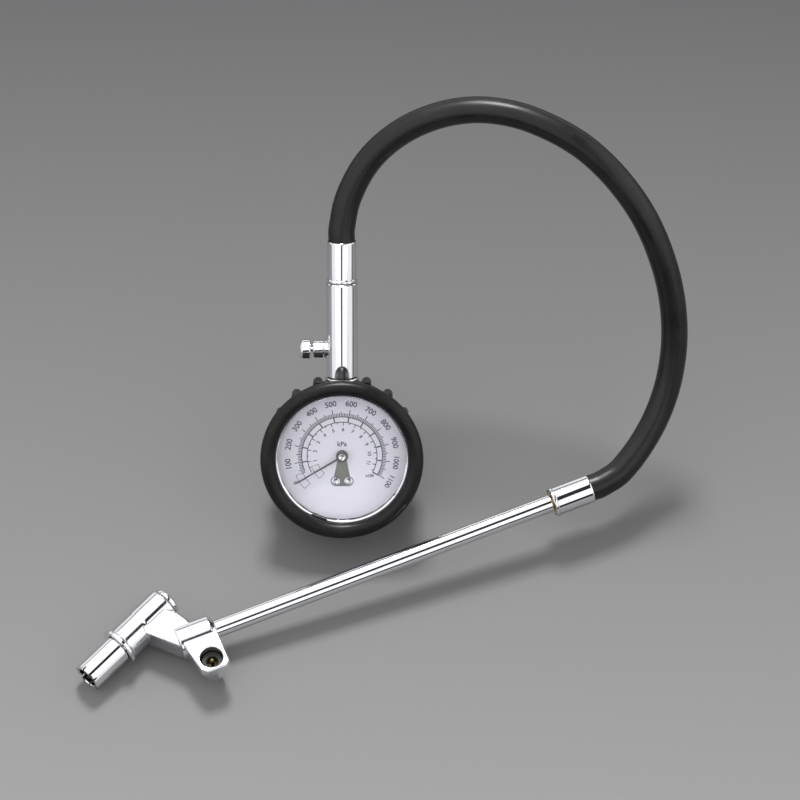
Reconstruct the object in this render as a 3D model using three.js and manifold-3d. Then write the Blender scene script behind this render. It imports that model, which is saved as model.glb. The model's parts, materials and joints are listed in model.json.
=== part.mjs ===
// Truck tyre pressure gauge: dial gauge in a rubber boot, check valve stem with a bleeder, hose, lance and
// a double chuck with a straight nozzle and a reverse port. Millimetres, +Z up, as it stands on a bench.
import * as THREE from "three";
import { mergeVertices } from "three/addons/utils/BufferGeometryUtils.js";
import Module from "manifold-3d";

const wasm = await Module();
wasm.setup();
const degree = Math.PI / 180;

// Clearances between pieces
const gap = 0.3;
const slideGap = 0.4;

// How the two rigid halves lie on the bench
const leanBack = 48 * degree;
const gaugeSpot = { x: 1.6, y: 11.2 };
const lanceYaw = 21.7 * degree;
const lanceRise = 3.7 * degree;
const lanceSpot = { x: -49.6, y: -59 };

// The stem leaves the case along +y of the gauge at this depth below the dial face
const stemRadius = 6.7;
const stemDepth = stemRadius + 5.8;

// Gauge case, measured from the dial face, which is at z = 0 in the gauge's own axes
const caseRadius = 29;
const caseLedge = 2;
const caseBody = caseRadius - caseLedge;
const caseStep = -4;
const caseWall = 0.9;
const caseBack = stemDepth + 6.5;
const caseRim = 1.6;
const bezelWall = 0.8;
const bezelSkirt = 1;
const bezelSight = caseRadius - 2.1;
const lensThick = 1.4;
const gasketThick = 0.7;
const dialThick = 0.8;

// Rubber boot
const bootRadius = caseBody + 1.6;
const bootFloor = 2.7;
const bootCorner = 3;
const bootShoulder = caseRadius + 0.6;
const lipSight = caseRadius - 1.3;
const lipRound = 3.3;
const ribCount = 18;
const ribRadius = 2.1;
const ribTip = bootRadius + 3.4;
const ribFront = -8.5;
const ribBack = -16.6;

// Stem
const collarFoot = bootRadius + 1.6;
const stemFoot = collarFoot + 1.5;
const stemLong = 40.6;
const stemTop = stemFoot + stemLong;
const stemBore = 3.2;
const socketNeck = 4.6;
const socketNeckTop = stemFoot + 5.3;
const collarRadius = stemRadius + 0.6;
const airBore = 1.4;
const springWeb = stemFoot + 16.3;
const springWebThick = 1.5;
const ballRadius = 2.2;
const checkTravel = 1.5;

// Bleeder valve on the side of the stem
const bleederHeight = stemFoot + 11.55;
const bleederRadius = 3.8;
const bossReach = stemRadius + 0.9;
const sleeveLong = 4.6;
const sleeveReach = bossReach + sleeveLong;
const knobRadius = 4.2;
const knobLong = 4.5;
const bleederTravel = 0.8;
const bleederPin = 1;

// Hose and its two ends
const hoseRadius = 5.6;
const hoseBore = 3.2;
const hoseSides = 10;
const hoseSteps = 34;
const ferruleLong = 17.5;
const ferruleWall = 0.45;
const ferruleRing = 6.6;
const collarThick = 1.2;
const tailLong = 12;

// Lance tube, along +x of the lance's own axes from the mouth of its socket
const lanceRadius = 3.8;
const lanceBore = 2.6;
const lanceLong = 150.3;
const lanceInset = 12.6;

// Chuck head
const socketRadius = 7.3;
const socketLong = 18;
const socketCone = 2.1;
const socketMouth = -1.4;
const nozzleTurn = 25.5 * degree;
const nozzleMouth = { x: -58.9, y: -0.1 };
const nozzleRadius = 6.35;
const nozzleBore = 4.5;
const nozzleLong = 18.4;
const spigotRadius = 5.3;
const spigotLong = 9.6;
const ringRadius = 8.65;
const ringThick = 1.8;
const neckRadius = 7.5;
const neckEnd = 32;
const barrelRadius = 7.8;
const barrelEnd = 46.6;
const plugRadius = 6.6;
const plugThick = 2.2;
const armHalf = 6.3;
const armEdge = 1.6;
const plungerTravel = 2;

// Reverse port in the side lug
const lugTop = 6;
const lugThick = 5.2;
const lugCorner = 2.2;
const port = { x: -8.3, y: -14.8 };
const portBore = 4.7;
const portDeep = 6.6;
const bossRadius = 4.9;
const bossBottom = -5.6;
const bossFloor = 1.2;
const portSpringBore = 3.4;
const portPassage = 1;
const portTravel = 1.2;

// Movement behind the dial
const pointerLong = 23.5;
const pointerRest = 211 * degree;
const pinionTeeth = 10;
const sectorTeethPerTurn = 80;
const toothPitch = 1.068;
const toothDepth = 0.7;
const sectorPivotAt = 205 * degree;
const plateFront = -1.4;
const plateThick = 1;
const rearPlateBack = -10;
const gearFront = -5.4;
const gearThick = 1.4;
const screwSpread = 2.65;
const screwDrop = 11.1;
const screwHead = 1.9;
const arborRadius = 0.6;
const tubeCoil = caseBody - 7.4;
const tubeDepth = 13.9;
const tubeHalf = 3.2;

// Materials
function finish(color, roughness, metalness) {
  return new THREE.MeshStandardMaterial({ color, roughness, metalness });
}

const chrome = finish(0xe8e9ec, 0.08, 1);
const rubber = finish(0x17181a, 0.6, 0);
const softRubber = finish(0x2a2b1c, 0.75, 0);
const brass = finish(0xb08d4a, 0.3, 1);
const steel = finish(0x9a9c9e, 0.35, 1);
const white = finish(0xe2dff0, 0.5, 0);
const black = finish(0x101012, 0.5, 0);
const glass = new THREE.MeshStandardMaterial({
  color: 0xf4f6fa,
  roughness: 0.03,
  metalness: 0,
  transparent: true,
  opacity: 0.25,
});

// Joining and cutting
function toSolid(geometry) {
  const bare = geometry.clone();
  bare.deleteAttribute("normal");
  bare.deleteAttribute("uv");
  const merged = mergeVertices(bare, 1e-4);
  const corners = [];
  for (let i = 0; i < merged.index.count; i += 3) {
    const three = [0, 1, 2].map((k) => merged.index.getX(i + k));
    if (new Set(three).size === 3) corners.push(...three);
  }
  const vertProperties = new Float32Array(merged.attributes.position.array);
  const triVerts = new Uint32Array(corners);
  return new wasm.Manifold(new wasm.Mesh({ numProp: 3, vertProperties, triVerts }));
}

function toGeometry(solid) {
  const made = solid.getMesh();
  const geometry = new THREE.BufferGeometry();
  geometry.setAttribute("position", new THREE.BufferAttribute(made.vertProperties, 3));
  geometry.setIndex(new THREE.BufferAttribute(made.triVerts, 1));
  geometry.computeVertexNormals();
  return geometry;
}

const join = (...geometries) => toGeometry(geometries.map(toSolid).reduce((sum, next) => sum.add(next)));

function cut(geometry, ...tools) {
  return toGeometry(tools.map(toSolid).reduce((rest, tool) => rest.subtract(tool), toSolid(geometry)));
}

// A turned piece around +y from an outline of [radius, height] points
function turned(outline, segments = 20) {
  const closed = outline[0][0] > 0 ? [...outline, outline[0]] : outline;
  let area = 0;
  for (let i = 0; i < closed.length - 1; i += 1) {
    area += closed[i][0] * closed[i + 1][1] - closed[i + 1][0] * closed[i][1];
  }
  const ordered = area < 0 ? [...closed].reverse() : closed;
  return new THREE.LatheGeometry(ordered.map(([r, h]) => new THREE.Vector2(r, h)), segments);
}

const rod = (radius, low, high, segments = 16) =>
  turned([[0, low], [radius, low], [radius, high], [0, high]], segments);
const ring = (inner, outer, low, high, segments = 20) =>
  turned([[inner, low], [outer, low], [outer, high], [inner, high]], segments);
const alongZ = (geometry) => geometry.rotateX(90 * degree);
const alongX = (geometry) => geometry.rotateZ(-90 * degree);
const alongMinusX = (geometry) => geometry.rotateZ(90 * degree);
const moved = (geometry, x, y, z) => geometry.translate(x, y, z);

// Points of an arc in an outline
function arc(cx, cy, radius, from, to, steps) {
  const points = [];
  for (let i = 0; i <= steps; i += 1) {
    const a = from + ((to - from) * i) / steps;
    points.push([cx + radius * Math.cos(a), cy + radius * Math.sin(a)]);
  }
  return points;
}

const flat = (outline) => outline.map(([x, y]) => new THREE.Vector2(x, y));

// A flat piece from an outline of [x, y] points between two heights
function plate(outline, low, high, holes = []) {
  const shape = new THREE.Shape(flat(outline));
  shape.holes = holes.map((hole) => new THREE.Path(flat(hole)));
  return new THREE.ExtrudeGeometry(shape, { depth: high - low, bevelEnabled: false }).translate(0, 0, low);
}

const circle = (x, y, radius, steps = 16) => arc(x, y, radius, 0, 2 * Math.PI, steps).slice(0, steps);

class Helix extends THREE.Curve {
  constructor(radius, length, turns) {
    super();
    Object.assign(this, { radius, length, turns });
  }
  getPoint(t) {
    const a = 2 * Math.PI * this.turns * t;
    return new THREE.Vector3(this.radius * Math.cos(a), this.length * t, this.radius * Math.sin(a));
  }
}

// A coil spring around +y between two heights
function spring(radius, wire, low, high, turns) {
  const section = new THREE.Shape(flat(circle(0, 0, wire, 5)));
  const path = new Helix(radius, high - low - 2 * wire, turns);
  const options = { extrudePath: path, steps: Math.round(turns * 9), bevelEnabled: false };
  return new THREE.ExtrudeGeometry(section, options).translate(0, low + wire, 0);
}

// The tree of groups
const part = new THREE.Group();
const gauge = new THREE.Group();
const lance = new THREE.Group();
const nozzle = new THREE.Group();
part.add(gauge, lance);
lance.add(nozzle);

function add(group, name, geometry, material) {
  const mesh = new THREE.Mesh(geometry, material);
  mesh.name = name;
  group.add(mesh);
}

// Rubber boot: a cup with a rolled lip that grips the bezel, and grip ribs around its side
const seat = caseBody + gap;
const rimSeat = caseRadius + gap;
const lipPlane = 6;
const bezelTop = caseRim + gasketThick + lensThick + 3 * gap + bezelWall;
const bootBack = -(caseBack + gap + bootFloor);
const bezelOut = caseRadius + gap + bezelWall;
const lipMiddle = lipSight + lipRound;
const bootOutline = [
  [0, bootBack],
  ...arc(bootRadius - bootCorner, bootBack + bootCorner, bootCorner, -90 * degree, 0, 3),
  [bootShoulder, caseStep - 2.2],
  [bootShoulder + 2, -bezelSkirt - 1.6],
  [bootShoulder + 2.4, 0],
  ...arc(lipMiddle, lipPlane, lipRound, -50 * degree, 180 * degree, 7),
  [lipSight, bezelTop + gap],
  [bezelOut + gap, bezelTop + gap],
  [bezelOut + gap, -bezelSkirt - gap],
  [rimSeat, -bezelSkirt - gap],
  [rimSeat, caseStep - gap],
  [seat, caseStep - gap],
  [seat, -caseBack - gap],
  [0, -caseBack - gap],
];

function makeBoot() {
  const shell = alongZ(turned(bootOutline, 36));
  const ribs = [];
  for (let i = 1; i < ribCount; i += 1) {
    const a = 90 * degree + (i * 2 * Math.PI) / ribCount;
    const r = ribTip - ribRadius;
    const rib = alongZ(rod(ribRadius, ribBack, ribFront, 7));
    ribs.push(moved(rib, r * Math.cos(a), r * Math.sin(a), 0));
  }
  const bore = alongZ(rod(seat, -caseBack - gap, caseStep - gap, 36));
  const stemHole = moved(rod(socketNeck + slideGap, 0, ribTip), 0, 0, -stemDepth);
  return cut(join(shell, ...ribs), bore, stemHole);
}
add(gauge, "boot", makeBoot(), rubber);

// Case, bezel, lens and dial
const caseOutline = [
  [0, -caseBack],
  [caseBody, -caseBack],
  [caseBody, caseStep],
  [caseRadius, caseStep],
  [caseRadius, caseRim],
  [caseRadius - caseWall, caseRim],
  [caseRadius - caseWall, caseStep + caseWall],
  [caseBody - caseWall, caseStep + caseWall],
  [caseBody - caseWall, -caseBack + caseWall],
  [0, -caseBack + caseWall],
];
const caseHole = () => moved(rod(socketNeck + slideGap, 0, caseRadius + 2), 0, 0, -stemDepth);
add(gauge, "gauge_case", cut(alongZ(turned(caseOutline, 36)), caseHole()), steel);

const gasketLow = caseRim + gap;
const lensLow = gasketLow + gasketThick + gap;
const lipLow = lensLow + lensThick + gap;
const bezelOutline = [
  [caseRadius + gap, -bezelSkirt],
  [bezelOut, -bezelSkirt],
  [bezelOut, bezelTop],
  [bezelSight, bezelTop],
  [bezelSight, lipLow],
  [caseRadius + gap, lipLow],
];
const gasketRing = alongZ(ring(bezelSight + gap, caseRadius, gasketLow, gasketLow + gasketThick, 24));
add(gauge, "lens_gasket", gasketRing, black);
add(gauge, "lens", alongZ(rod(caseRadius, lensLow, lensLow + lensThick, 32)), glass);
add(gauge, "bezel_ring", alongZ(turned(bezelOutline, 36)), chrome);

const hubHole = 2.6;
const dialRadius = caseRadius - caseWall - slideGap;
const windowHalf = 3.8;
const windowFoot = screwDrop + 2.2;
const screwPlaces = [
  ["left", -screwSpread],
  ["right", screwSpread],
];
const screwWindow = ([, x]) => moved(alongZ(rod(screwHead + gap, -dialThick - 1, 1, 16)), x, -screwDrop, 0);
const dialWindow = [
  [-1.9, -1.6],
  [-windowHalf, -screwDrop],
  [-windowHalf, -windowFoot + 0.8],
  [-windowHalf + 0.8, -windowFoot],
  [windowHalf - 0.8, -windowFoot],
  [windowHalf, -windowFoot + 0.8],
  [windowHalf, -screwDrop],
  [1.9, -1.6],
  ...arc(0, 0, hubHole, -38 * degree, 218 * degree, 10),
];
const dialDisc = plate(circle(0, 0, dialRadius, 48), -dialThick, 0);
const dialPlate = cut(dialDisc, plate(dialWindow, -dialThick - 1, 1), ...screwPlaces.map(screwWindow));
add(gauge, "dial_plate", dialPlate, white);

// Movement plates, pillars and screws
const pivotGap = (toothPitch * (pinionTeeth + sectorTeethPerTurn)) / (2 * Math.PI);
const pivot = { x: pivotGap * Math.cos(sectorPivotAt), y: pivotGap * Math.sin(sectorPivotAt) };
const shankRadius = 0.9;
const bridgeOutline = [
  [-2.4, 2.4],
  [-14.5, pivot.y + 3.2],
  [pivot.x - 2.6, pivot.y + 1.6],
  [pivot.x - 2.6, pivot.y - 2.2],
  [pivot.x + 2, pivot.y - 3.2],
  [-4.9, -13.2],
  [4.9, -13.2],
  [4.9, -9.8],
  [2.4, -2.4],
  [2.4, 2.4],
];
const bearing = arborRadius + slideGap;
const pivotRadius = 0.8;
const plateHoles = (spread) => [
  circle(0, 0, bearing, 10),
  circle(pivot.x, pivot.y, pivotRadius + gap, 10),
  ...spread.map(([, x]) => circle(x, -screwDrop, shankRadius + gap, 10)),
];
const bridgeBack = plateFront - plateThick;
const rearPlateFront = rearPlateBack + plateThick;
add(gauge, "movement_bridge", plate(bridgeOutline, bridgeBack, plateFront, plateHoles(screwPlaces)), steel);

const blockHalf = 6.5;
const blockLow = 12;
const blockHigh = caseBody - caseWall - 1.5;
const blockFront = rearPlateBack - gap;
const blockBack = -caseBack + caseWall + 0.7;
const mountScrew = { spread: 3.6, height: 17 };
const rearOutline = [
  [-5.6, 20],
  [-5.6, 4],
  [pivot.x - 2.6, pivot.y + 2.6],
  [pivot.x - 2.6, pivot.y - 2.2],
  [pivot.x + 2, pivot.y - 3.2],
  [-4.9, -13.2],
  [4.9, -13.2],
  [5.6, 4],
  [5.6, 20],
];
const mountHole = (side) => circle(side * mountScrew.spread, mountScrew.height, shankRadius + gap, 10);
const mountHoles = [mountHole(-1), mountHole(1)];
add(
  gauge,
  "movement_plate",
  plate(rearOutline, rearPlateBack, rearPlateFront, [...plateHoles([]), ...mountHoles]),
  brass,
);

for (const [side, x] of screwPlaces) {
  const high = bridgeBack - gap;
  const low = rearPlateFront + gap;
  const post = [[0, low], [1.5, low], [1.5, high], [shankRadius + gap, high]];
  const pillar = turned([...post, [shankRadius + gap, high - 3.4], [0, high - 3.4]], 12);
  add(gauge, "pillar_" + side, moved(alongZ(pillar), x, -screwDrop, 0), brass);
  const headLow = plateFront + gap;
  const screw = [[0, high - 3], [shankRadius, high - 3], [shankRadius, headLow], [screwHead, headLow]];
  const crown = [[screwHead, headLow + 0.7], [screwHead - 0.6, headLow + 1.2], [0, headLow + 1.4]];
  const domed = turned([...screw, ...crown], 14);
  const slot = new THREE.BoxGeometry(5, 0.5, 1.4).translate(0, 0, headLow + 1.5);
  add(gauge, "dial_screw_" + side, moved(cut(alongZ(domed), slot), x, -screwDrop, 0), steel);
}

// Pointer on its arbor, with the pinion, and the sector gear that drives it
const pitchRadius = (teeth) => (toothPitch * teeth) / (2 * Math.PI);
function toothed(teeth, first, last, phase) {
  const root = pitchRadius(teeth) - toothDepth / 2 - 0.15;
  const tip = pitchRadius(teeth) + toothDepth / 2 - 0.05;
  const step = (2 * Math.PI) / teeth;
  const points = [];
  for (let i = first; i <= last; i += 1) {
    const a = phase + i * step;
    points.push(...[[-0.26, root], [-0.1, tip], [0.1, tip], [0.26, root]].map(([share, r]) => {
      return [r * Math.cos(a + share * step), r * Math.sin(a + share * step)];
    }));
  }
  return points;
}

const hubHigh = 2.7;
const hubLow = 1;
const arborTop = hubHigh - 0.6;
const gearBack = gearFront - gearThick;
const pinionOutline = toothed(pinionTeeth, 0, pinionTeeth - 1, sectorPivotAt);
const shaft = alongZ(rod(arborRadius, rearPlateBack + 0.1, arborTop, 10));
add(gauge, "pointer_arbor", join(shaft, plate(pinionOutline, gearBack, gearFront)), brass);

const hubOutline = [
  [arborRadius + gap, hubLow],
  [2.5, hubLow],
  [2.5, hubHigh - 0.4],
  [2.1, hubHigh],
  [0, hubHigh],
  [0, arborTop + gap],
  [arborRadius + gap, arborTop + gap],
];
const hub = alongZ(turned([hubOutline[5], hubOutline[6], ...hubOutline.slice(0, 5)], 16));
const needleOutline = [
  [-2.3, -0.5],
  [2, -0.45],
  [pointerLong, -0.2],
  [pointerLong, 0.2],
  [2, 0.45],
  [-2.3, 0.5],
];
const needle = plate(needleOutline, 1.1, 1.7);
const needleHole = alongZ(rod(arborRadius + gap, hubLow - 1, arborTop + gap, 12));
const pointer = cut(join(hub, needle), needleHole).rotateZ(pointerRest);
add(gauge, "pointer", pointer, black);

const sectorFirst = -8;
const sectorLast = 1;
const sectorStep = (2 * Math.PI) / sectorTeethPerTurn;
const sectorCentre = sectorPivotAt + Math.PI;
const sectorArm = sectorCentre + ((sectorFirst + sectorLast + 1) / 2) * sectorStep;
const sectorOutline = [
  ...toothed(sectorTeethPerTurn, sectorFirst, sectorLast, sectorCentre + sectorStep / 2),
  ...arc(0, 0, 10.2, sectorArm + 4.6 * sectorStep, sectorArm + 1.6 * sectorStep, 2),
  ...arc(0, 0, 2.4, sectorArm + 60 * degree, sectorArm + 300 * degree, 8),
  ...arc(0, 0, 10.2, sectorArm - 1.6 * sectorStep, sectorArm - 4.6 * sectorStep, 2),
];
const tailAt = sectorCentre - 235 * degree;
const tail = plate([[0, -1], [6.6, -0.9], [7.2, 0], [6.6, 0.9], [0, 1]], gearBack, gearFront).rotateZ(tailAt);
const sector = cut(
  join(plate(sectorOutline, gearBack, gearFront), tail),
  alongZ(rod(pivotRadius + slideGap, gearBack - 1, gearFront + 1, 12)),
);
add(gauge, "sector_gear", moved(sector, pivot.x, pivot.y, 0), brass);
const pin = alongZ(rod(pivotRadius, rearPlateBack + 0.1, plateFront - 0.1, 12));
add(gauge, "sector_pin", moved(pin, pivot.x, pivot.y, 0), steel);

// Hairspring: a flat spiral strip around the arbor
function makeHairspring() {
  const turns = 3;
  const steps = 12 * turns;
  const edge = (offset) => {
    const points = [];
    for (let i = 0; i <= steps; i += 1) {
      const a = (2 * Math.PI * turns * i) / steps;
      const r = 1.5 + (3.2 * i) / steps + offset;
      points.push([r * Math.cos(a), r * Math.sin(a)]);
    }
    return points;
  };
  return plate([...edge(0.12), ...edge(-0.12).reverse()], gearBack - 1.4, gearBack - 0.7);
}
add(gauge, "hairspring", makeHairspring(), brass);

// Bourdon tube: a flattened tube bent around the case from the socket block to its free tip
class Bend extends THREE.Curve {
  getPoint(t) {
    const a = (66 - 272 * t) * degree;
    return new THREE.Vector3(tubeCoil * Math.cos(a), tubeCoil * Math.sin(a), -tubeDepth);
  }
}
const tubeFlat = tubeHalf - 0.6;
const tubeOutline = [
  [-tubeHalf, -0.5],
  [-tubeFlat, -1.1],
  [tubeFlat, -1.1],
  [tubeHalf, -0.5],
  [tubeHalf, 0.5],
  [tubeFlat, 1.1],
  [-tubeFlat, 1.1],
  [-tubeHalf, 0.5],
];
const tubeSection = new THREE.Shape(flat(tubeOutline));
const bendOptions = { extrudePath: new Bend(), steps: 28, bevelEnabled: false };
add(gauge, "bourdon_tube", new THREE.ExtrudeGeometry(tubeSection, bendOptions), brass);

const tipAt = (66 - 272) * degree;
const tip = { x: tubeCoil * Math.cos(tipAt), y: tubeCoil * Math.sin(tipAt) };
const tailTip = {
  x: pivot.x + 6.4 * Math.cos(tailAt),
  y: pivot.y + 6.4 * Math.sin(tailAt),
};
function makeLink() {
  const reach = Math.hypot(tip.x - tailTip.x, tip.y - tailTip.y);
  const turn = Math.atan2(tailTip.y - tip.y, tailTip.x - tip.x);
  const back = arc(0, 0, 1.1, 90 * degree, 270 * degree, 4);
  const front = arc(reach, 0, 1.1, -90 * degree, 90 * degree, 4);
  const bar = plate([...back, ...front], gearBack - 1.3, gearBack - gap);
  const post = alongZ(rod(0.8, tubeHalf - tubeDepth + gap, gearBack - 1, 8));
  return moved(join(bar, post).rotateZ(turn), tip.x, tip.y, 0);
}
add(gauge, "tip_link", makeLink(), brass);

// Socket block: carries the tube and the movement, and its neck passes out to the stem
function makeSocket() {
  const block = new THREE.BoxGeometry(2 * blockHalf, blockHigh - blockLow, blockFront - blockBack);
  moved(block, 0, (blockHigh + blockLow) / 2, (blockFront + blockBack) / 2);
  const neck = moved(rod(socketNeck, blockHigh - 1, socketNeckTop), 0, 0, -stemDepth);
  const air = moved(rod(airBore, blockLow + 4, socketNeckTop + 1, 10), 0, 0, -stemDepth);
  const threads = [-1, 1].map((side) => {
    const hole = alongZ(rod(shankRadius + gap, blockFront - 4, blockFront + 1, 10));
    return moved(hole, side * mountScrew.spread, mountScrew.height, 0);
  });
  return cut(join(block, neck), air, ...threads);
}
add(gauge, "gauge_socket", makeSocket(), brass);

for (const [side, sign] of [["left", -1], ["right", 1]]) {
  const low = rearPlateFront + gap;
  const outline = [[0, blockFront - 3.6], [shankRadius, blockFront - 3.6], [shankRadius, low]];
  const screw = turned([...outline, [1.6, low], [1.6, low + 0.9], [0, low + 0.9]], 12);
  const placed = moved(alongZ(screw), sign * mountScrew.spread, mountScrew.height, 0);
  add(gauge, "plate_screw_" + side, placed, steel);
}

// Stem with its side boss, air passage and the check valve
const collarOutline = [
  [socketNeck + slideGap, collarFoot],
  ...arc(collarRadius - 0.6, collarFoot + 0.6, 0.6, -90 * degree, 90 * degree, 4),
  [socketNeck + slideGap, stemFoot - gap],
];
add(gauge, "stem_collar", moved(turned(collarOutline, 20), 0, 0, -stemDepth), chrome);

const barbLow = stemTop - tailLong + gap;
const stemEdge = 0.5;
const stemOutline = [
  [socketNeck + gap, stemFoot],
  [stemRadius - stemEdge, stemFoot],
  [stemRadius, stemFoot + stemEdge],
  [stemRadius, stemTop - stemEdge],
  [stemRadius - stemEdge, stemTop],
  [stemBore, stemTop],
  [stemBore, springWeb + springWebThick],
  [airBore, springWeb + springWebThick],
  [airBore, springWeb],
  [stemBore, springWeb],
  [stemBore, socketNeckTop + 0.6],
  [socketNeck + gap, socketNeckTop + 0.6],
];
const sideBore = 2.5;
function makeStem() {
  const body = turned(stemOutline, 20);
  const pocket = moved(alongMinusX(rod(sideBore, 0, bossReach + 1)), 0, bleederHeight, 0);
  const boss = moved(alongMinusX(rod(bleederRadius, stemBore + 0.9, bossReach, 16)), 0, bleederHeight, 0);
  const bore = rod(stemBore, socketNeckTop + 0.6, springWeb);
  return moved(cut(join(body, boss), bore, pocket), 0, 0, -stemDepth);
}
add(gauge, "stem_body", makeStem(), chrome);

const springSeat = springWeb + springWebThick + gap;
const ballAt = barbLow - gap - ballRadius;
const checkSpringTop = ballAt - ballRadius - checkTravel - 0.2;
add(gauge, "check_spring", moved(spring(1.7, 0.25, springSeat, checkSpringTop, 4), 0, 0, -stemDepth), steel);
add(gauge, "check_ball", moved(new THREE.SphereGeometry(ballRadius, 10, 6), 0, ballAt, -stemDepth), steel);

// Bleeder: a sleeve in the boss, and a spring-loaded button whose head closes the passage
const neckReach = bossReach - 3;
const sleeveFoot = bossReach + gap;
const sealThick = 0.6;
const sleeveOutline = [
  [bleederPin + slideGap, neckReach],
  [sideBore - gap, neckReach],
  [sideBore - gap, sleeveFoot],
  [bleederRadius, sleeveFoot],
  [bleederRadius, sleeveReach - 0.4],
  [bleederRadius - 0.4, sleeveReach],
  [2.9, sleeveReach],
  [2.9, sleeveFoot + 1.2],
  [bleederPin + slideGap, sleeveFoot + 1.2],
];
const knobLow = sleeveReach + bleederTravel + 0.2;
const sealHigh = neckReach - gap;
const headHigh = sealHigh - sealThick - gap;
const buttonOutline = [
  [0, headHigh - 0.8],
  [1.9, headHigh - 0.8],
  [1.9, headHigh],
  [bleederPin, headHigh],
  [bleederPin, knobLow],
  [knobRadius - 0.5, knobLow],
  [knobRadius, knobLow + 0.5],
  [knobRadius, knobLow + knobLong - 0.8],
  [knobRadius - 0.8, knobLow + knobLong],
  [0, knobLow + knobLong],
];
const atBleeder = (geometry) => moved(alongMinusX(geometry), 0, bleederHeight, -stemDepth);
add(gauge, "bleeder_sleeve", atBleeder(turned(sleeveOutline, 16)), chrome);
add(gauge, "bleeder_button", atBleeder(turned(buttonOutline, 16)), chrome);
add(gauge, "bleeder_seal", atBleeder(ring(bleederPin + gap, 1.9, sealHigh - sealThick, sealHigh, 14)), rubber);
const bleederSpringLow = sleeveFoot + 1.2 + gap;
add(gauge, "bleeder_spring", atBleeder(spring(2, 0.25, bleederSpringLow, sleeveReach - 0.1, 3)), steel);

// Hose ends: a barbed tail with a collar, and the crimped ferrule around it, both standing on height 0
const ferruleFlange = collarThick + 2 * gap;
const ferruleOutline = [
  [ferruleRing - 1.1, 0],
  [ferruleRing - 0.3, 0],
  [ferruleRing, 0.3],
  [ferruleRing, 1.1],
  [ferruleRing - 0.45, 1.5],
  [hoseRadius + slideGap / 2 + ferruleWall, 1.9],
  [hoseRadius + slideGap / 2 + ferruleWall, ferruleLong - 0.4],
  [hoseRadius + slideGap / 2 + 0.15, ferruleLong],
  [hoseRadius + slideGap / 2, ferruleLong],
  [hoseRadius + slideGap / 2, ferruleFlange + 1.2],
  [hoseBore + 0.1, ferruleFlange + 1.2],
  [hoseBore + 0.1, ferruleFlange],
  [ferruleRing - 1.1, ferruleFlange],
];
const barbBore = 1.5;
function makeBarb(tailRadius) {
  const outline = [
    [barbBore, -tailLong],
    [tailRadius, -tailLong],
    [tailRadius, 0.1],
    [ferruleRing - 1.4, 0.1],
    [ferruleRing - 1.4, 0.1 + collarThick],
    [hoseBore - gap, 0.1 + collarThick],
  ];
  const teeth = 3;
  const toothLong = 3.6;
  const first = ferruleLong - 2 - teeth * toothLong;
  for (let i = 0; i < teeth; i += 1) {
    outline.push([hoseBore - gap, first + i * toothLong], [hoseBore - gap - 0.5, first + (i + 1) * toothLong]);
  }
  outline.push([barbBore, first + teeth * toothLong]);
  return turned(outline, 12);
}
const hoseStart = ferruleFlange + 1.2 + gap;
const atStemTop = (geometry) => moved(geometry, 0, stemTop + gap, -stemDepth);
const atLanceEnd = (geometry) => moved(alongX(geometry), lanceLong + gap, 0, 0);
add(gauge, "hose_barb_gauge", atStemTop(makeBarb(stemBore - gap)), brass);
add(gauge, "ferrule_gauge", atStemTop(turned(ferruleOutline, 18)), chrome);
add(lance, "hose_barb_lance", atLanceEnd(makeBarb(lanceBore - gap)), brass);
add(lance, "ferrule_lance", atLanceEnd(turned(ferruleOutline, 18)), chrome);

// Lance tube and its washer
const tubeEdge = 0.3;
const lanceOutline = [
  [lanceBore, -lanceInset],
  [lanceRadius, -lanceInset],
  [lanceRadius, lanceLong - tubeEdge],
  [lanceRadius - tubeEdge, lanceLong],
  [lanceBore, lanceLong],
];
add(lance, "lance_tube", alongX(turned(lanceOutline, 18)), chrome);
const washerHigh = -lanceInset - gap;
const washer = ring(lanceBore - 0.2, lanceRadius, washerHigh - 0.8, washerHigh, 16);
add(lance, "lance_washer", alongX(washer), rubber);

// Chuck head: socket, arm, barrel and side lug cast in one piece
const atNozzle = (geometry) => {
  return moved(geometry.rotateZ(nozzleTurn - 90 * degree), nozzleMouth.x, nozzleMouth.y, 0);
};
const neckFoot = nozzleLong + gap + ringThick + gap;
const spigotHole = spigotRadius + gap;
const spigotEnd = nozzleLong + spigotLong;
const socketBottom = washerHigh - 0.8 - gap;
const passage = 2;
const plugSpigot = 4.1;
const barrelOutline = [
  [0, neckFoot],
  [neckRadius - 0.3, neckFoot],
  [neckRadius, neckFoot + 0.3],
  [neckRadius, neckEnd],
  [barrelRadius, neckEnd + 0.8],
  [barrelRadius, barrelEnd - 0.8],
  [barrelRadius - 0.8, barrelEnd],
  [0, barrelEnd],
];
const socketOutline = [
  [0, -socketLong],
  [socketRadius, -socketLong],
  [socketRadius, socketMouth - socketCone],
  [lanceRadius + 0.6, socketMouth],
  [0, socketMouth],
];
const armOutline = [
  [-32.5, 10.7],
  [-28.5, 6.3],
  [-18, -4.9],
  [-9.5, -4.9],
  [-10.5, 5.8],
  [-13.4, 11.4],
  [-17.6, 15.2],
  [-26, 19],
];
const lugLeft = port.x - 8.3;
const lugRight = port.x + 6.5;
const lugFront = port.y - 6.2;
const lugOutline = [
  [lugLeft, -2],
  [lugLeft, port.y + 7.6],
  [lugLeft + 2.3, lugFront + lugCorner],
  [lugLeft + 2.3 + lugCorner, lugFront],
  [lugRight - lugCorner, lugFront],
  [lugRight, lugFront + lugCorner],
  [lugRight, -2],
];

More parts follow.
